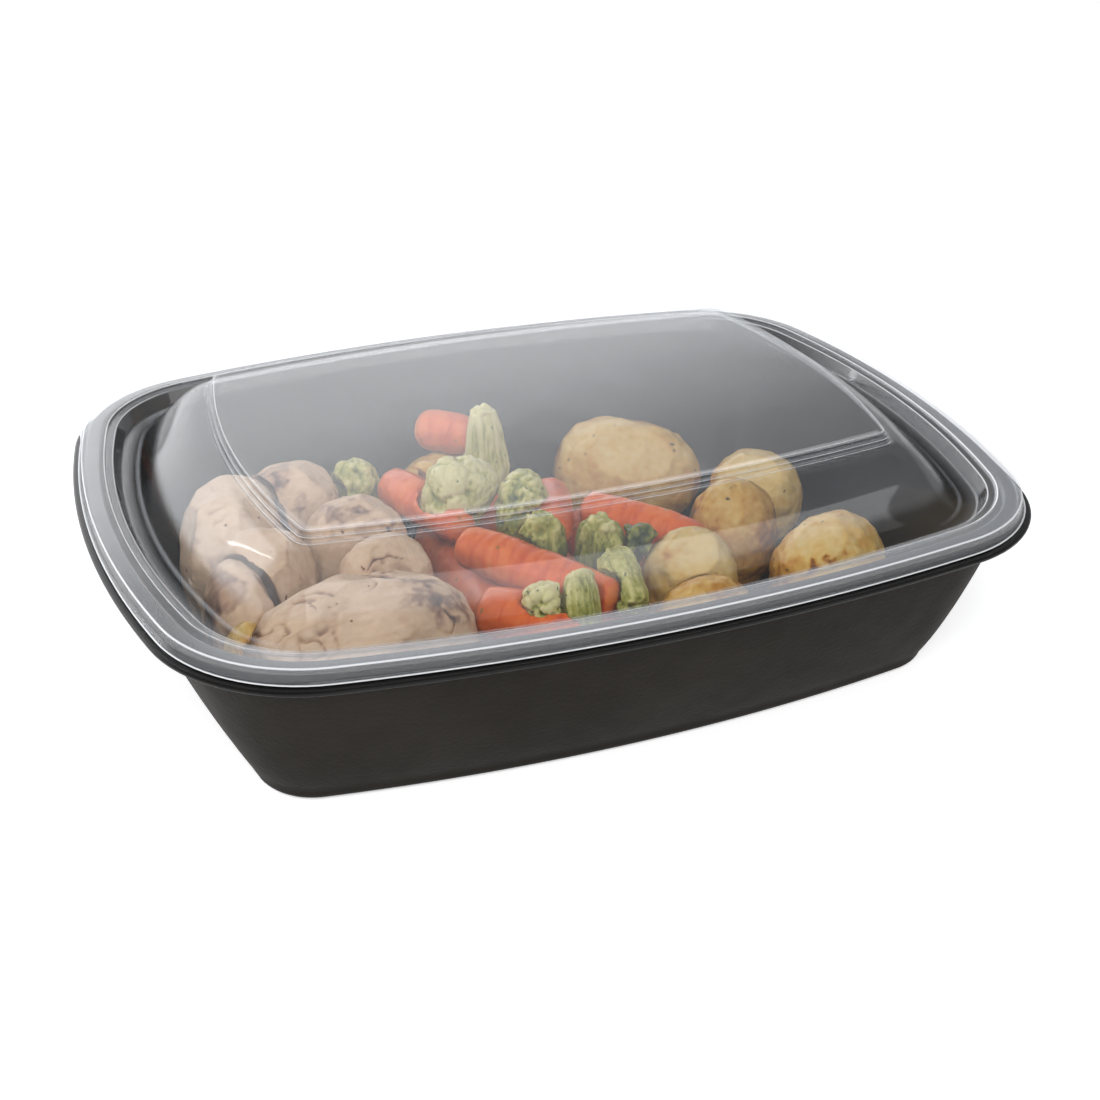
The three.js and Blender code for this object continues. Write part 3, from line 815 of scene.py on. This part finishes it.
def shapeFloret(points, normals, look):
    seed = look["seed"]
    big = cellsAt(warped(points, 5, 1.2, seed + 3), look["buds"], seed)
    small = cellsAt(warped(points, 2.5, 0.5, seed + 6), 1.45, seed + 1)
    knobs = np.sqrt(np.clip(1 - (big / 0.85) ** 2, 0, 1))
    grains = np.sqrt(np.clip(1 - (small / 0.85) ** 2, 0, 1))
    out = 2.1 * knobs - 2.6 + 0.65 * grains + 0.7 * cloudAt(points, 7, seed + 2, 2)
    # painted shade in the gaps between buds and between grains
    tone = look["tone"] + 0.75 * (0.7 - knobs) + 0.5 * (0.64 - grains)
    tone += 0.35 * cloudAt(points, 6, seed + 4, 3)
    tone += look["foot"] * footOf(points, 3, 16)
    return out, tone


def shapePotato(points, normals, look):
    seed = look["seed"]
    crust = cloudAt(points, 1.8, seed + 8, 3)
    out = 1.2 * cloudAt(points, 13, seed, 2) + 0.45 * cloudAt(points, 4, seed + 1, 2) + 0.2 * crust - 0.75
    pits = ease(cellsAt(points, 7.5, seed + 2), 0.16, 0.0)
    out -= 0.4 * pits
    brown = ease(cloudAt(points, 9, seed + 3, 4), 0.1, 0.5)
    rim = ease(turnedFrom(normals, look["face"]), 0.35, 0.95)
    tone = look["tone"] + 0.16 * cloudAt(points, 6, seed + 4, 4) + look["brown"] * brown - 0.1 * crust
    tone += look["rim"] * rim * (0.8 + 0.5 * cloudAt(points, 5, seed + 5, 2)) + 0.2 * pits
    tone += look["foot"] * footOf(points, 5, 18)
    return out, tone


# colours from the palest to the darkest tone, each at its place on the ramp
foodColours = {
    "chicken": [
        (0.0, (0.69, 0.505, 0.35)), (0.28, (0.56, 0.375, 0.24)), (0.5, (0.31, 0.18, 0.12)),
        (0.75, (0.125, 0.074, 0.06)), (1.0, (0.045, 0.032, 0.034)),
    ],
    "carrot": [
        (0.0, (0.80, 0.25, 0.06)), (0.4, (0.72, 0.14, 0.025)), (0.75, (0.56, 0.075, 0.014)),
        (1.0, (0.32, 0.04, 0.012)),
    ],
    "green": [
        (0.0, (0.63, 0.57, 0.28)), (0.25, (0.45, 0.42, 0.13)), (0.5, (0.24, 0.245, 0.045)),
        (0.8, (0.095, 0.115, 0.03)), (1.0, (0.03, 0.05, 0.028)),
    ],
    "potato": [
        (0.0, (0.64, 0.47, 0.20)), (0.3, (0.57, 0.355, 0.095)), (0.58, (0.47, 0.22, 0.036)),
        (0.82, (0.25, 0.09, 0.016)), (1.0, (0.09, 0.036, 0.014)),
    ],
}
foodFinish = {
    "chicken": {
        "stretch": (0.7, 1.2, 1.2), "grainPush": 0.34, "roughness": 0.55, "wet": 0.04,
        "bump": 0.0003, "bumpScale": 620,
        "specks": {"Scale": 560, "Size": 0.22, "Share": 0.04, "Speck": colour(0.17, 0.06, 0.022)},
    },
    "carrot": {
        "stretch": (1, 1, 1), "grainPush": 0.36, "roughness": 0.36, "wet": 0.15,
        "bump": 0.00015, "bumpScale": 500,
        "specks": {"Scale": 480, "Size": 0.25, "Share": 0.10, "Speck": colour(0.34, 0.14, 0.02)},
    },
    "green": {
        "stretch": (1.7, 1.7, 0.22), "grainPush": 0.7, "roughness": 0.42, "wet": 0.1,
        "bump": 0.0002, "bumpScale": 700,
        "specks": {"Scale": 620, "Size": 0.26, "Share": 0.06, "Speck": colour(0.09, 0.10, 0.035)},
    },
    "potato": {
        "stretch": (1, 1, 1), "grainPush": 0.6, "roughness": 0.42, "wet": 0.1,
        "bump": 0.0002, "bumpScale": 560,
        "specks": {"Scale": 600, "Size": 0.25, "Share": 0.07, "Speck": colour(0.14, 0.095, 0.03)},
    },
}
foodSurface = {"grainScale": 520, "roughnessScale": 160, "coatRoughness": 0.2}


def foodMaterial(kind):
    finish = foodFinish[kind]
    made, tree = newMaterial(kind + "Cooked")
    place = placeOf(tree)
    # the painted tone, pushed up and down by fine noise, picks the colour on the ramp
    toneMap = addNode(tree, "ShaderNodeAttribute", {"attribute_name": "tone"})
    fine = addNode(tree, "ShaderNodeMath", {"operation": "MULTIPLY_ADD"})
    grain = heightOf(tree, placeOf(tree, finish["stretch"]), foodSurface["grainScale"], 4)
    wire(tree, grain, fine.inputs[0])
    fine.inputs[1].default_value = finish["grainPush"]
    shifted = addNode(tree, "ShaderNodeMath", {"operation": "ADD"})
    shifted.inputs[1].default_value = -0.5 * finish["grainPush"]
    wire(tree, toneMap.outputs["Fac"], shifted.inputs[0])
    wire(tree, shifted.outputs[0], fine.inputs[2])
    ramp = addNode(tree, "ShaderNodeValToRGB")
    stops = ramp.color_ramp.elements
    for i, (at, rgb) in enumerate(foodColours[kind]):
        stop = stops[i] if i < 2 else stops.new(at)
        stop.position, stop.color = at, colour(*rgb)
    wire(tree, fine.outputs[0], ramp.inputs[0])
    specks = useGroup(tree, speckle, finish["specks"])
    wire(tree, place, specks.inputs["Place"])
    wire(tree, ramp.outputs["Color"], specks.inputs["Base"])
    skin = addNode(tree, "ShaderNodeBsdfPrincipled")
    wire(tree, specks.outputs["Colour"], skin.inputs["Base Color"])
    skin.inputs["Coat Weight"].default_value = finish["wet"]
    skin.inputs["Coat Roughness"].default_value = foodSurface["coatRoughness"]
    wet = addNode(tree, "ShaderNodeMapRange")
    wet.inputs["To Min"].default_value = finish["roughness"] * 0.7
    wet.inputs["To Max"].default_value = finish["roughness"] * 1.3
    wire(tree, heightOf(tree, place, foodSurface["roughnessScale"], 1), wet.inputs["Value"])
    wire(tree, wet.outputs["Result"], skin.inputs["Roughness"])
    crumb = heightOf(tree, place, finish["bumpScale"], 2)
    wire(tree, bumpOf(tree, crumb, finish["bump"]), skin.inputs["Normal"])
    finishMaterial(tree, skin.outputs[0])
    return made


foodMaterials = {kind: foodMaterial(kind) for kind in foodColours}
shapers = {
    "chicken": shapeChicken, "carrot": shapeCarrot, "stalk": shapeStalk,
    "floret": shapeFloret, "potato": shapePotato,
}
materialKinds = {"stalk": "green", "floret": "green", "leaf": "green"}  # other pieces are named for theirs
foodDefaults = {
    "voxel": 0.85, "smoothing": 10, "cuts": [], "spots": [], "faceTone": -0.06, "edgeTone": 0.12,
    "deepest": -3, "highest": 0.25,
}

# voxel is the fineness in millimetres and tone how dark the piece is as a whole; cuts are (direction,
# depth), torn places (place, radius) and spots (place, radius, darkening)
foodPieces = [
    {"node": "chicken_front", "shape": "chicken", "seed": 1, "voxel": 0.5, "char": 0.12, "skin": 0.2,
     "cuts": [((-0.1, -0.72, 0.68), 2.6), ((-0.95, -0.3, 0.25), 2.2), ((0.15, 0.3, 0.94), 2)],
     "torn": [((-52, -33, 40), 10)],
     "spots": [((-45, -43, 38), 5.5, 0.38), ((-40, -45, 34), 5, 0.45), ((-42, -37, 38), 4.5, 0.4),
               ((-35, -41, 33), 5.5, 0.45), ((-50, -45, 38), 3, 0.25), ((-52, -32, 40), 4, 0.3)]},
    {"node": "chicken_left", "shape": "chicken", "seed": 2, "voxel": 0.6, "tone": 0.12, "char": 0.12,
     "skin": 0.15, "cuts": [((-0.35, -0.5, 0.8), 2.2), ((-0.9, 0, 0.45), 1.8)],
     "spots": [((-80, 7, 35), 5, 0.35), ((-74, 12, 38), 3.5, 0.3), ((-89, 13, 34), 5, 0.35)]},
    # the wide spot on chicken_corner is painted shade on its left side
    {"node": "chicken_corner", "shape": "chicken", "seed": 3, "voxel": 0.6,
     "cuts": [((-0.5, -0.55, 0.67), 2.2)], "spots": [((-91, -20, 22), 12, 0.35)]},
    {"node": "chicken_middle", "shape": "chicken", "seed": 4, "voxel": 0.6, "char": 0.3,
     "cuts": [((-0.2, -0.5, 0.84), 2.2), ((0.7, -0.5, 0.5), 1.6)]},
    {"node": "chicken_back", "shape": "chicken", "seed": 5, "voxel": 0.6, "char": 0.25,
     "cuts": [((-0.1, -0.65, 0.75), 2.2), ((0.5, -0.2, 0.85), 1.6)],
     "spots": [((-61, 31, 36), 4, 0.4), ((-57, 26, 32), 5, 0.4), ((-70, 24, 36), 4, 0.3)]},
    {"node": "chicken_right", "shape": "chicken", "seed": 6, "voxel": 0.6, "char": 0.25, "cracks": 0.5,
     "cuts": [((0.05, -0.6, 0.8), 2.2), ((0.6, 0, 0.8), 1.6)],
     "spots": [((-51, 8, 36), 6, 0.4), ((-45, 7, 36), 4.5, 0.35), ((-55, 14, 35), 4, 0.3)]},
    {"node": "chicken_low", "shape": "chicken", "seed": 7, "voxel": 0.6, "char": 0.3, "cracks": 0.5,
     "cuts": [((0.2, -0.6, 0.75), 2)], "torn": [((-47, -20, 36), 8)],
     "spots": [((-50, -20, 35), 4, 0.3)]},
    {"node": "carrot_diagonal", "shape": "carrot", "seed": 11},
    {"node": "carrot_front", "shape": "carrot", "seed": 12},
    {"node": "carrot_left", "shape": "carrot", "seed": 13},
    {"node": "carrot_upright", "shape": "carrot", "seed": 14},
    {"node": "carrot_right", "shape": "carrot", "seed": 15},
    {"node": "carrot_far", "shape": "carrot", "seed": 16},
    {"node": "carrot_low_1", "shape": "carrot", "seed": 32, "voxel": 1.3},
    {"node": "carrot_low_2", "shape": "carrot", "seed": 33, "voxel": 1.3},
    {"node": "carrot_low_3", "shape": "carrot", "seed": 34, "voxel": 1.3},
    {"node": "stalk_front", "shape": "stalk", "seed": 8, "tone": 0.2, "voxel": 0.42,
     "cuts": [((-0.3, -0.9, 0.3), 1)]},
    {"node": "floret_front", "shape": "floret", "seed": 9, "tone": 0.14, "buds": 3.4, "voxel": 0.42},
    {"node": "floret_middle", "shape": "floret", "seed": 10, "tone": 0.1, "buds": 5.5, "voxel": 0.5},
    {"node": "floret_far", "shape": "stalk", "seed": 24, "tone": 0.02, "ridges": 1.6, "foot": 0.1,
     "voxel": 0.55},
    {"node": "floret_dark", "shape": "floret", "seed": 25, "tone": 0.38, "buds": 4, "voxel": 0.45,
     "spots": [((-5, 4, 36), 4, 0.3), ((-8, 7, 32), 4, 0.3)]},
    {"node": "stalk_left", "shape": "stalk", "seed": 26, "tone": 0.44, "ridges": 3, "voxel": 0.42,
     "axis": (0.05, -0.25, 1), "cuts": [((-0.3, -0.9, 0.3), 1.4)]},
    {"node": "stalk_right", "shape": "stalk", "seed": 27, "tone": 0.36, "ridges": 3, "voxel": 0.42,
     "axis": (-0.1, -0.2, 1), "cuts": [((-0.3, -0.9, 0.3), 1.4)]},
    {"node": "stalk_low", "shape": "stalk", "seed": 28, "tone": 0.34, "ridges": 2.6, "voxel": 0.42},
    {"node": "leaf_dark", "shape": "floret", "seed": 29, "tone": 0.85, "buds": 3.2, "voxel": 0.5},
    {"node": "floret_back", "shape": "floret", "seed": 30, "tone": 0.35, "buds": 4.4, "voxel": 0.5},
    {"node": "potato_far", "shape": "potato", "seed": 17, "tone": 0.16, "rim": 0.6, "brown": 0.15,
     "voxel": 0.7, "cuts": [((-0.3, -0.75, 0.6), 2.4), ((0.35, 0.2, 0.92), 1.6)]},
    {"node": "potato_right", "shape": "potato", "seed": 18, "tone": 0.2, "rim": 0.3, "voxel": 0.55,
     "cuts": [((-0.4, -0.4, 0.82), 1.8)],
     "spots": [((57, -44, 26.5), 2.4, 0.7), ((61, -45, 28), 2, 0.75), ((65, -45.6, 29.3), 2.6, 0.5),
               ((52, -38.5, 23), 6, 0.35)]},
    {"node": "potato_side", "shape": "potato", "seed": 19, "tone": 0.1, "rim": 0.35, "brown": 0.2,
     "voxel": 0.65, "cuts": [((-0.4, -0.6, 0.7), 2.2)]},
    {"node": "potato_middle", "shape": "potato", "seed": 20, "tone": 0.36, "rim": 0.3, "voxel": 0.6,
     "cuts": [((-0.6, -0.55, 0.58), 2)], "spots": [((42, -11, 26), 8, 0.25)]},
    {"node": "potato_front", "shape": "potato", "seed": 21, "tone": 0.42, "rim": 0.15, "voxel": 0.5,
     "spots": [((33, -50.5, 29), 6, -0.2)]},
    {"node": "potato_pale", "shape": "potato", "seed": 22, "tone": 0.06, "rim": 0.3, "voxel": 0.5,
     "cuts": [((-0.25, -0.65, 0.72), 2.2)], "spots": [((20.5, -32, 29.5), 4, 0.3)]},
    {"node": "potato_corner", "shape": "potato", "seed": 23, "tone": 0.25, "rim": 0.2, "voxel": 0.6},
    {"node": "potato_small", "shape": "potato", "seed": 31, "tone": 0.35, "rim": 0.3, "voxel": 0.6},
    {"node": "potato_low", "shape": "potato", "seed": 35, "tone": 0.25, "voxel": 1.2},
]


def makeFood(piece):
    look = {**foodDefaults, **shapeDefaults[piece["shape"]], **piece}
    node, seed = look["node"], look["seed"]
    first, *rest = node.split("_")
    name = first + "".join(word.capitalize() for word in rest)
    obj = fineCopy(name, node, look["voxel"], look["smoothing"])
    mesh = obj.data
    points, normals = readPoints(mesh)
    points, face, edge = sliced(points, look["cuts"])
    out, tone = shapers[look["shape"]](points, normals, look)
    tone += look["faceTone"] * face + look["edgeTone"] * edge * (0.7 + 0.6 * cloudAt(points, 4, seed))
    # each spot changes the tone round its place by its push: most are browning and char, the wide one on
    # chicken_corner is painted shade
    for place, radius, push in look["spots"]:
        away = np.linalg.norm(warped(points, 3, 2.2, seed + 40) - place, axis=1)
        away += 2 * cloudAt(points, 2.6, seed, 4)
        tone += push * ease(away, radius, radius * 0.4) * (0.8 + 0.7 * cloudAt(points, 1.6, seed + 1, 2))
    moved = points + normals * np.clip(out, look["deepest"], look["highest"])[:, None]
    mesh.vertices.foreach_set("co", (moved * mm).ravel())
    paint(mesh, "tone", tone)
    mesh.update()
    mesh.shade_smooth()
    kind = materialKinds.get(first, first)
    mesh.materials.append(foodMaterials[kind])
    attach(obj, "root")
    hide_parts(node)


for piece in foodPieces:
    makeFood(piece)
print("food made")


# floor, light and surroundings; a light that is not mirrored leaves no reflection in the lid
studio = {
    "floorColour": colour(0.88, 0.88, 0.88),
    "floorHalf": 3,
    "floorDrop": 0.0001,
    "floorGlow": 0.46,
    "floorRoughness": 0.7,
    "floorShine": 0.2,
    "skyColour": colour(0.975, 0.985, 1.01),
    "skySide": 0.6,
    "skyBack": 2.7,
    "skyUpper": 0.45,
    "skyTop": 0.1,
    "backFrom": (0.58, 0.82), "backLean": -0.15,  # brighter towards the back, a little to the left
    "upperFrom": (0.455, 0.535), "upperLean": 0.25,  # dimmer higher up, sooner at the right
    "topFrom": (0.62, 0.85),
    "lights": [
        {"name": "frontSoft", "place": (-0.25, -0.9, 0.95), "aim": (0, 0, 0.03), "size": (0.9, 0.5),
         "power": 10, "mirrored": False},
        {"name": "topSoft", "place": (0.3, -0.82, 1.0), "aim": (0.3, -0.82, 0), "size": (1.5, 0.78),
         "power": 4, "mirrored": True},
        {"name": "leftSoft", "place": (-1.0, 0.1, 0.6), "aim": (0, 0, 0.03), "size": (0.5, 0.7),
         "power": 5.5, "mirrored": False},
        {"name": "backStrip", "place": (-0.87, 1.0, 0.7), "aim": (0, 0, 0.03), "size": (0.025, 0.36),
         "power": 0.16, "mirrored": True},
    ],
}


def makeFloor():
    half = studio["floorHalf"]
    mesh = bpy.data.meshes.new("floor")
    corners = [(-half, -half, 0), (half, -half, 0), (half, half, 0), (-half, half, 0)]
    mesh.from_pydata(corners, [], [(0, 1, 2, 3)])
    floor = bpy.data.objects.new("floor", mesh)
    bpy.context.scene.collection.objects.link(floor)
    floor.location.z = -studio["floorDrop"]
    made, tree = newMaterial("paleFloor")
    skin = addNode(tree, "ShaderNodeBsdfPrincipled", Roughness=studio["floorRoughness"])
    skin.inputs["Base Color"].default_value = studio["floorColour"]
    skin.inputs["Emission Color"].default_value = colour(1, 1, 1)
    skin.inputs["Emission Strength"].default_value = studio["floorGlow"]
    skin.inputs["Specular IOR Level"].default_value = studio["floorShine"]
    finishMaterial(tree, skin.outputs[0])
    mesh.materials.append(made)


def makeLight(light):
    data = bpy.data.lights.new(light["name"], "AREA")
    data.shape = "RECTANGLE"
    data.size, data.size_y = light["size"]
    data.energy = light["power"]
    obj = bpy.data.objects.new(light["name"], data)
    obj.location = light["place"]
    aim = Vector(light["aim"]) - Vector(light["place"])
    obj.rotation_euler = aim.to_track_quat("-Z", "Y").to_euler()
    obj.visible_glossy = light["mirrored"]
    bpy.context.scene.collection.objects.link(obj)


# value plus a share of another, then eased from one strength to the next over a range
def skyStep(tree, value, span, strengths, other=None, share=0):
    if other:
        leaning = addNode(tree, "ShaderNodeMath", {"operation": "MULTIPLY_ADD"})
        wire(tree, other, leaning.inputs[0])
        leaning.inputs[1].default_value = share
        wire(tree, value, leaning.inputs[2])
        value = leaning.outputs[0]
    made = addNode(tree, "ShaderNodeMapRange", {"interpolation_type": "SMOOTHSTEP"})
    for label, number in zip(("From Min", "From Max", "To Min", "To Max"), (*span, *strengths)):
        made.inputs[label].default_value = number
    wire(tree, value, made.inputs["Value"])
    return made.outputs["Result"]


def makeSky():
    world = bpy.data.worlds.new("studioSky")
    bpy.context.scene.world = world
    world.use_nodes = True
    tree = world.node_tree
    tree.nodes.clear()
    where = addNode(tree, "ShaderNodeTexCoord")
    parts = addNode(tree, "ShaderNodeSeparateXYZ")
    wire(tree, where.outputs["Generated"], parts.inputs[0])
    x, y, z = (parts.outputs[label] for label in "XYZ")
    sideToBack = studio["skySide"], studio["skyBack"]
    behind = skyStep(tree, y, studio["backFrom"], sideToBack, x, studio["backLean"])
    lower = skyStep(tree, z, studio["upperFrom"], (1, studio["skyUpper"]), x, studio["upperLean"])
    above = skyStep(tree, z, studio["topFrom"], (0, 1))
    dimmed = addNode(tree, "ShaderNodeMath", {"operation": "MULTIPLY"})
    wire(tree, behind, dimmed.inputs[0])
    wire(tree, lower, dimmed.inputs[1])
    fade = addNode(tree, "ShaderNodeMix", {"data_type": "FLOAT"})
    wire(tree, above, fade.inputs[0])
    wire(tree, dimmed.outputs[0], fade.inputs[2])
    fade.inputs[3].default_value = studio["skyTop"]
    sky = addNode(tree, "ShaderNodeBackground")
    sky.inputs["Color"].default_value = studio["skyColour"]
    wire(tree, fade.outputs[0], sky.inputs["Strength"])
    end = addNode(tree, "ShaderNodeOutputWorld")
    wire(tree, sky.outputs[0], end.inputs["Surface"])


makeFloor()
for light in studio["lights"]:
    makeLight(light)
makeSky()
view = bpy.context.scene.view_settings
view.view_transform = "Standard"
view.look = "None"
print("studio made")
